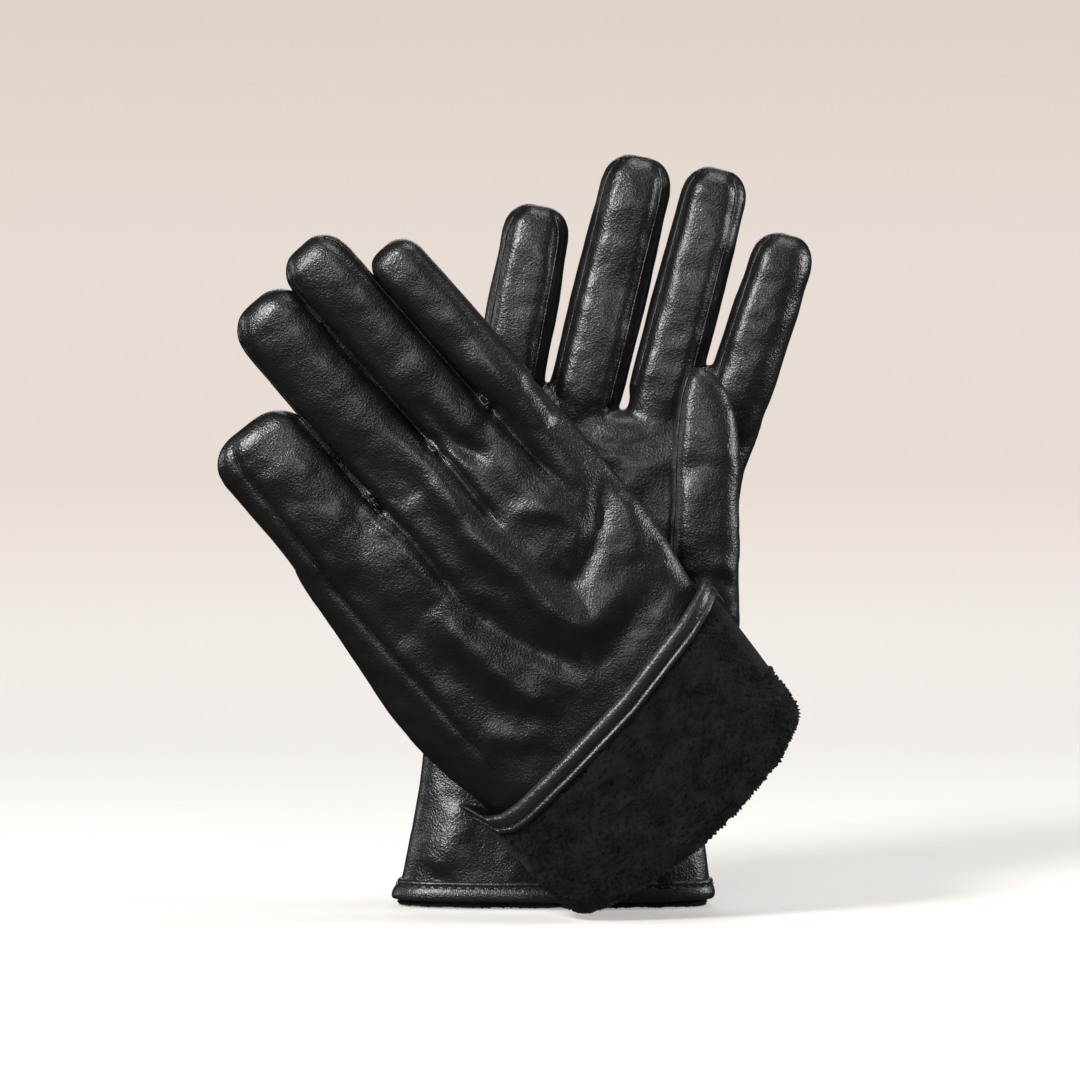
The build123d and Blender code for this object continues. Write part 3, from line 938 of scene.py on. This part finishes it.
THUMB_SEAM = ((-10.2, -10), (-9.6, 8), (-8.6, 30), (-8.2, 46), (-7.2, 60), (-5.6, 69), (-3.6, 75))
THUMB_FOLDS = (
    (((-8, 2), (2, 6), (12, 3)), -0.8, 3.0),
    (((-8, 40), (2, 43), (12, 40)), -0.5, 3.0),
    (((-6, 12), (-4, 26), (-6, 38)), 0.6, 3.5),
    (((6, 10), (4, 26), (6, 40)), -0.6, 4.0),
)


def thumb_rings(glove, stretch, inset):
    """The rings of this glove's thumb. The left hand's are mirrored."""
    rings = []
    for ring in THUMB_RINGS:
        left, right = sorted((glove.palm * ring.left, glove.palm * ring.right))
        ring = ring._replace(height=ring.height * stretch, left=left, right=right)
        rings.append(grown(ring, -inset * 0.9))
    return [ring for ring in rings if ring.front > 0.2 and ring.right - ring.left > 0.6]


def thumb_skin(glove, stretch, inset, voxel, name):
    bm = bmesh.new()
    add_loft(bm, thumb_rings(glove, stretch, inset), 36)
    return welded(object_from(bm, name), voxel, 3)


def blend_thumb(piece, glove, matrix):
    blend_between(piece, glove, "thumb", matrix, -26, 4)


# %% Make the thumbs
for glove in (RIGHT, LEFT):
    matrix, side = thumb_matrix(glove), glove.side
    inverse = matrix.inverted()
    length = max((inverse @ v.co).y for v in frame["nodes"][f"{side}_thumb_outer"].data.vertices)
    stretch = length / THUMB_LENGTH

    def fitted(line):
        return [(glove.palm * x, y * stretch) for x, y in line]

    thumb = thumb_skin(glove, stretch, 0.0, 1.0, f"{side}_thumb_leather")
    co, no = coordinates(thumb.data), vertex_normals(thumb.data)
    push = 0.5 * swell(co, 5, 20.0) + 0.3 * swell(co, 6, 8.0)
    for line, height, width in THUMB_FOLDS:
        push += fold(co, no, fitted(line), height, width)
    seam = Seam("thumb", fitted(THUMB_SEAM), 1, 0.5)
    push += seam_push(co, no, seam)
    set_coordinates(thumb.data, co + no * push[:, None])
    thumb.data.transform(matrix)
    thumb.data.update()
    tree = surface_of([thumb], matrix)
    walled(thumb, LEATHER_WALL, LEATHER)
    blend_thumb(thumb, glove, matrix)
    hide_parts(f"{side}_thumb_outer", f"{side}_thumb_inner")
    beads = bead_piece(f"{side}_thumb_seams", tree, matrix, [seam])
    blend_thumb(beads, glove, matrix)
    inner = thumb_skin(glove, stretch, 2.3, 2.2, f"{side}_thumb_plush")
    inner.data.transform(matrix)
    walled(inner, PLUSH_WALL, PLUSH)
    blend_thumb(inner, glove, matrix)
    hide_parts(f"{side}_thumb_lining")
    print(side, "thumb length, mm:", round(length, 1), "faces:", len(thumb.data.polygons))

# %% [markdown]
# ## Bands round the cuffs
# A hem is a strip of leather folded over the raw edge and topstitched. A band is one profile, a closed
# outline of height and standing-off, carried round the glove's outline, and a bend function lets its edge
# rise and fall. Hems, cuff leather and plush are all bands.


# %% Band helpers
def between(low, high, share):
    return Ring(*[a + (b - a) * share for a, b in zip(low, high)])


def outline(hand_rings, height):
    """The hand's outline at a height, between its stations."""
    for low, high in zip(hand_rings, hand_rings[1:]):
        if low.height <= height <= high.height:
            return between(low, high, (height - low.height) / (high.height - low.height))
    raise ValueError(height)


def band(name, rings, bends, glove, segments, material):
    """Rings bridged in order, each with its own bend, and the last one bridged to the first."""
    bm = bmesh.new()
    loops = [add_ring(bm, ring, segments, Matrix.Identity(4), bend)[1] for ring, bend in zip(rings, bends)]
    for low, high in zip(loops, loops[1:] + loops[:1]):
        bmesh.ops.bridge_loops(bm, edges=low + high)
    bmesh.ops.recalc_face_normals(bm, faces=bm.faces)
    bmesh.ops.transform(bm, matrix=glove_matrix(glove), verts=bm.verts)
    piece = object_from(bm, name)
    piece.data.materials.append(material)
    return piece


def dense(profile, step):
    """A profile's corners rounded into points about a step apart."""
    line = smooth_line(profile, 12)
    out = [line[0]]
    for p in line[1:]:
        if (p - out[-1]).length >= step:
            out.append(p)
    return [(p.x, p.y) for p in out]


def closed_profile(profile):
    return dense([*profile, profile[0]], 0.35)[:-1]


# %% [markdown]
# ## Plush
# Plush is a lawn of short fibres that lean in patches. Its band is pushed about by two sizes of noise, and
# thousands of its small faces are drawn out into leaning tufts, which break its outline as real pile does.


# %% Pile on a band
def raise_pile(obj, seed, height, share, mask):
    """Pushes the surface about and draws a share of its faces into tufts. Heights are in millimetres."""
    pick = random.Random(seed)
    bm = bmesh.new()
    bm.from_mesh(obj.data)
    bm.normal_update()
    for v in bm.verts:
        if mask(v.co):
            fine, broad = noise.fractal(v.co / (3.2 * MM), 1.0, 2.0, 2), noise.noise(v.co / (9 * MM))
            v.co += v.normal * (fine * 0.30 + broad * 0.5) * MM * height
    bm.normal_update()
    chosen = [f for f in bm.faces if mask(f.calc_center_median()) and pick.random() < share]
    drawn = bmesh.ops.extrude_discrete_faces(bm, faces=chosen)["faces"]
    for face in drawn:
        middle = face.calc_center_median()
        lean = noise.noise_vector(middle / (14 * MM)) * 0.9 + noise.noise_vector(middle / (2 * MM)) * 0.7
        tip = middle + (face.normal + lean * 0.6).normalized() * pick.uniform(0.5, 1.0) * height * MM
        for v in face.verts:
            v.co = tip + (v.co - middle) * 0.12
    bm.to_mesh(obj.data)
    bm.free()
    obj.data.polygons.foreach_set("use_smooth", [True] * len(obj.data.polygons))
    return len(drawn)


# %% [markdown]
# ## The right cuff
# The glove stands on the edge of its cuff. The plush reaches the floor and the leather hem ends a little
# above it. Both edges are level although the glove leans, so the rings are bent level.

# %% The right cuff's plush and hem
LEAN = radians(RIGHT_LEAN)


def level(height):
    """Bends a ring so that it lies level in the frame at a height."""
    return lambda place: (height - place.z * sin(LEAN)) / cos(LEAN)


def right_band(name, profile, segments, material):
    rings = [grown(outline(RIGHT_HAND, max(h, -4)), out) for h, out in profile]
    return band(name, rings, [level(h) for h, _ in profile], RIGHT, segments, material)


EDGE = ((42, -4.2), (24, -4.3), (6, -4.3), (1.6, -4.2), (0.5, -3.6), (0.35, -2.6), (1.2, -1.9), (5.0, -1.8))
right_plush = right_band("right_cuff_plush", dense(EDGE, 0.9) + [(20, -2.0), (42, -2.4)], 260, PLUSH)
tufts = raise_pile(right_plush, 11, 0.55, 0.3, lambda co: co.z < 0.03)
low = min(v.co.z for v in right_plush.data.vertices)
right_plush.data.transform(Matrix.Translation((0, 0, -low if low < 0 else 0)))
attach(right_plush, "right_hand")
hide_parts("right_cuff_lining")

HEM = [(9.4, 0.0), (9.1, 0.7), (8.3, 0.95), (7.5, 0.55), (6.8, 1.0), (5.2, 1.35)]
HEM += [(3.6, 1.15), (2.7, 0.4), (2.7, -0.8), (4.4, -1.5), (7.0, -1.7), (9.2, -1.3)]
right_hem = right_band("right_hem_leather", closed_profile(HEM), 220, HEM_LEATHER_PAINTED_LIGHT)
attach(right_hem, "right_hand")
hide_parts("right_hem")
print("right cuff tufts:", tufts, "hem faces:", len(right_hem.data.polygons))

# %% [markdown]
# ## The turned-up left cuff
# Turned up, the cuff is three layers: its leather faces the hand, its plush faces out, and its hem is at
# the top. The fold sags between its ends and the hem climbs towards the index side, so both lines are given
# as heights across the cuff.

# %% The left cuff's edges
TOP_EDGE = [(-56, 54), (-53, 50), (-50.5, 43.5), (-46, 41), (-40, 40.4), (-19, 42), (10, 45.2)]
TOP_EDGE += [(25, 48.3), (41, 51.6), (50, 54.4), (56, 57)]
FOLD_EDGE = [(-56, 3.5), (-50.5, 0.8), (-46, -2.2), (-40, -5.2), (-24, -8.0), (-3, -10.2), (16, -8.6)]
FOLD_EDGE += [(35, -5.2), (48, 0.0), (56, 3)]


def height_at(edge, x):
    return float(np.interp(x, [p[0] for p in edge], [p[1] for p in edge]))


def cuff_bend(share, above=0.0):
    """Bends a ring to a share of the way from the fold to the top edge, plus some millimetres."""

    def bend(place):
        sag, top = height_at(FOLD_EDGE, place.x), height_at(TOP_EDGE, place.x)
        if place.z < 0:
            sag, top = sag * 0.7, top * 0.6 + 19.0
        return sag + (top - sag) * share + above

    return bend


CUFF_LOW = Ring(0, -46.2, 47.4, 11.2, 11.0, 2.5)
CUFF_TOP = Ring(48, -49.4, 50.2, 12.0, 11.6, 2.9)


def cuff_ring(share, out):
    """The turned cuff's ring: the hand's outline at the fold, opening out towards the top edge."""
    return grown(between(CUFF_LOW, CUFF_TOP, min(max(share, 0), 1)), out)


def left_band(name, profile, segments, material):
    """A band from shares of the cuff's height, standing-off and millimetres above the share."""
    rings = [cuff_ring(share, out) for share, out, _ in profile]
    return band(name, rings, [cuff_bend(share, rise) for share, _, rise in profile], LEFT, segments, material)


# %% The left cuff's plush, leather and hem
CUFF_HEIGHT = 48.0  # turns a share into millimetres
SEEN = [(0.72, -4.0), (0.3, -4.0), (0.10, -3.8), (0.03, -2.8), (0.005, -1.0), (0.0, 1.0), (0.02, 2.6)]
SEEN += [(0.08, 3.7), (0.3, 4.2), (0.6, 4.4), (0.9, 4.3)]
HIDDEN = [(0.9, 2.4), (0.5, 2.2), (0.12, 1.4), (0.07, -0.4), (0.14, -2.2), (0.72, -2.4)]
seen = dense([(share * CUFF_HEIGHT, out) for share, out in SEEN], 0.8)
hidden = [(share * CUFF_HEIGHT, out) for share, out in HIDDEN]
profile = [(height / CUFF_HEIGHT, out, 0.0) for height, out in seen + hidden]
left_plush = left_band("left_cuff_plush", profile, 280, PLUSH)
inverse = glove_matrix(LEFT).inverted()


def tufted(co):
    place = inverse @ co
    return abs(place.z) > 8 or place.y < 20


tufts = raise_pile(left_plush, 12, 1.0, 0.45, tufted)
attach(left_plush, "left_hand")
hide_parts("left_cuff_lining")

LAYER = ((0.95, 1.9), (0.5, 1.7), (0.13, 1.1), (0.13, 0.5), (0.5, 0.9), (0.95, 1.0))
profile = [(share, out, 0.0) for share, out in LAYER]
left_inner = left_band("left_cuff_leather_layer", profile, 120, LEATHER)
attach(left_inner, "left_hand")
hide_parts("left_cuff_leather")

LEFT_HEM = [(-7.4, 4.3), (-7.2, 5.2), (-6.2, 5.6), (-5.2, 5.1), (-4.4, 5.6), (-2.6, 6.0), (-1.0, 5.7)]
LEFT_HEM += [(0.0, 4.6), (0.1, 3.2), (-0.9, 2.2), (-3.5, 1.8), (-7.0, 2.2)]
profile = [(1.0, out, rise) for rise, out in closed_profile(LEFT_HEM)]
left_hem = left_band("left_hem_leather", profile, 240, HEM_LEATHER_PAINTED_LIGHT)
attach(left_hem, "left_hand")
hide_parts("left_hem")
print("left cuff tufts:", tufts, "faces:", len(left_plush.data.polygons))

# %% [markdown]
# ## Stitches
# Topstitching is a row of short raised stitches, each a small rounded bead set down with its long side
# along the line.


# %% Topstitch the hems
STITCH, GAP, STITCH_WIDTH = 2.3, 0.8, 0.55


def add_stitch(bm, place, ahead, normal):
    side = ahead.cross(normal).normalized()
    turn = Matrix((side, ahead, side.cross(ahead))).transposed().to_4x4()
    size = Matrix.Diagonal((STITCH_WIDTH * MM, STITCH * MM, STITCH_WIDTH * MM * 0.8, 1))
    matrix = Matrix.Translation(place) @ turn @ size
    bmesh.ops.create_icosphere(bm, subdivisions=1, radius=0.5, matrix=matrix)


def stitch_row(name, places, tilt, body):
    """Stitches along a closed line, facing forwards or backwards from its middle and tilted a little."""
    middle = sum(places, Vector()) / len(places)
    bm = bmesh.new()
    run, next_stitch, made = 0.0, 0.0, 0
    for a, b in zip(places, places[1:]):
        step = (b - a).length / MM
        while run + step > next_stitch:
            p = a + (b - a) * ((next_stitch - run) / step)
            add_stitch(bm, p, (b - a).normalized(), Vector((0, p.y - middle.y, 0)).normalized() + tilt)
            next_stitch += STITCH + GAP
            made += 1
        run += step
    piece = object_from(bm, name)
    piece.data.materials.append(THREAD)
    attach(piece, body)
    print(name, "stitches:", made)


def ring_line(ring, bend, glove):
    """A ring's points in order, in the frame."""
    bm = bmesh.new()
    verts, _ = add_ring(bm, ring, 400, Matrix.Identity(4), bend)
    line = [glove_matrix(glove) @ v.co for v in verts]
    bm.free()
    return line + [line[0]]


right_line = ring_line(grown(outline(RIGHT_HAND, 7.5), 1.0), level(7.5), RIGHT)
stitch_row("right_hem_stitches", right_line, Vector((0, 0, 0.01)), "right_hand")
left_line = ring_line(cuff_ring(1.0, 5.25), cuff_bend(1.0, -5.2), LEFT)
stitch_row("left_hem_stitches", left_line, LEFT.across * 0.01, "left_hand")

# %% [markdown]
# ## Wrist elastic
# A short elastic tape is sewn, stretched, between the leather and the plush on the palm side of the wrist,
# and gathers the leather. It is laid on the skin and sunk just under it.


# %% The elastic tapes
TAPE_LEFT, TAPE_RIGHT, TAPE_WIDTH = -30, 20, 6.0


def elastic_tape(glove, low):
    bm = bmesh.new()
    bmesh.ops.create_grid(bm, x_segments=60, y_segments=4, size=0.5)
    face = glove.palm
    for v in bm.verts:
        x = TAPE_LEFT + (v.co.x + 0.5) * (TAPE_RIGHT - TAPE_LEFT)
        y = low + (v.co.y + 0.5) * TAPE_WIDTH
        ray = Vector((x, y, 60.0 * face)), Vector((0, 0, -face))
        hit, normal, _, _ = SURFACES[glove.side].ray_cast(*ray)
        v.co = hit - normal * (1.25 + 0.08 * sin(x * 2.2))
    bmesh.ops.recalc_face_normals(bm, faces=bm.faces)
    bmesh.ops.transform(bm, matrix=glove_matrix(glove), verts=bm.verts)
    piece = walled(object_from(bm, f"{glove.side}_wrist_tape"), 0.4, TAPE)
    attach(piece, f"{glove.side}_hand")
    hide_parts(f"{glove.side}_wrist_elastic")


elastic_tape(RIGHT, 66)
elastic_tape(LEFT, 90)

# %% [markdown]
# ## Camera, light and floor
# The gloves are seen level from the front. Black leather shows its shape only by what it reflects, so soft
# lights stand to the left, above and to the right, over a pale floor with a pale sweep behind.

# %% Camera
camera = bpy.data.objects.new("camera", bpy.data.cameras.new("camera"))
bpy.context.scene.collection.objects.link(camera)
bpy.context.scene.camera = camera
VIEW_DISTANCE, VIEW_WIDTH, ELEVATION = 1.8, 0.365, 3.0
target = Vector((0.0073, 0.011, 0.124))
toward = Vector((0, -cos(radians(ELEVATION)), sin(radians(ELEVATION))))
camera.location = target + toward * VIEW_DISTANCE
camera.rotation_euler = (-toward).to_track_quat("-Z", "Y").to_euler()
camera.data.lens = camera.data.sensor_width * VIEW_DISTANCE / VIEW_WIDTH
camera.data.clip_start = 0.01

# %% Floor
bm = bmesh.new()
bmesh.ops.create_circle(bm, cap_ends=True, radius=4.0, segments=96)
floor = object_from(bm, "pale_floor", False)
floor.visible_glossy = False
constants = {"Specular_IOR_Level": 0.1, "Emission_Strength": 1.0, "Roughness": 0.8}
floor_material, floor_shader, place = new_material("pale_paper", **constants)
away = place.node("ShaderNodeVectorMath", {"operation": "LENGTH"}, 1, _0=place)
near, far = smooth_range(place, away, 0.15, 1.2), smooth_range(place, away, 0.9, 3.6)
feed(floor_shader, "Base Color", mixed(place, near, (0.55, 0.53, 0.51, 1), (0.02, 0.02, 0.02, 1)))
glow = mixed(place, near, (0.34, 0.33, 0.32, 1), (0.87, 0.82, 0.78, 1))
feed(floor_shader, "Emission Color", mixed(place, far, glow, (0.80, 0.72, 0.66, 1)))
floor.data.materials.append(floor_material)


# %% Lights
def add_light(name, place, size, power):
    data = bpy.data.lights.new(name, "AREA")
    data.shape, data.size, data.energy = "DISK", size, power
    lamp = bpy.data.objects.new(name, data)
    lamp.location = place
    lamp.rotation_euler = (MIDDLE - Vector(place)).to_track_quat("-Z", "Y").to_euler()
    bpy.context.scene.collection.objects.link(lamp)


MIDDLE = Vector((0, 0, 0.13))
add_light("key", (-0.90, -1.05, 1.05), 0.50, 38)
add_light("front", (0.10, -1.60, 0.75), 0.30, 4)
add_light("top", (0.30, -0.10, 1.30), 0.60, 6)
add_light("right_edge", (1.05, 0.00, 0.40), 0.35, 7)
add_light("left_edge", (-1.05, 0.30, 0.35), 0.30, 2)
add_light("behind", (0.00, 1.60, 0.90), 0.90, 6)

world = bpy.data.worlds.new("studio")
bpy.context.scene.world = world
world.use_nodes = True
sky = Pattern(world.node_tree, world.node_tree.nodes.new("ShaderNodeTexCoord").outputs["Generated"])
rise = sky.node("ShaderNodeSeparateXYZ", None, 2, _0=sky)
rise = sky.node("ShaderNodeMapRange", None, Value=rise, From_Min=0.0, From_Max=0.05)
backdrop = mixed(sky, rise, (0.80, 0.72, 0.66, 1), (0.74, 0.64, 0.56, 1))
seen = sky.node("ShaderNodeLightPath", None, 0)
strength = seen * 0.97 + 0.03
background = world.node_tree.nodes["Background"]
world.node_tree.links.new(backdrop.socket, background.inputs["Color"])
world.node_tree.links.new(strength.socket, background.inputs["Strength"])
bpy.context.scene.view_settings.view_transform = "Standard"
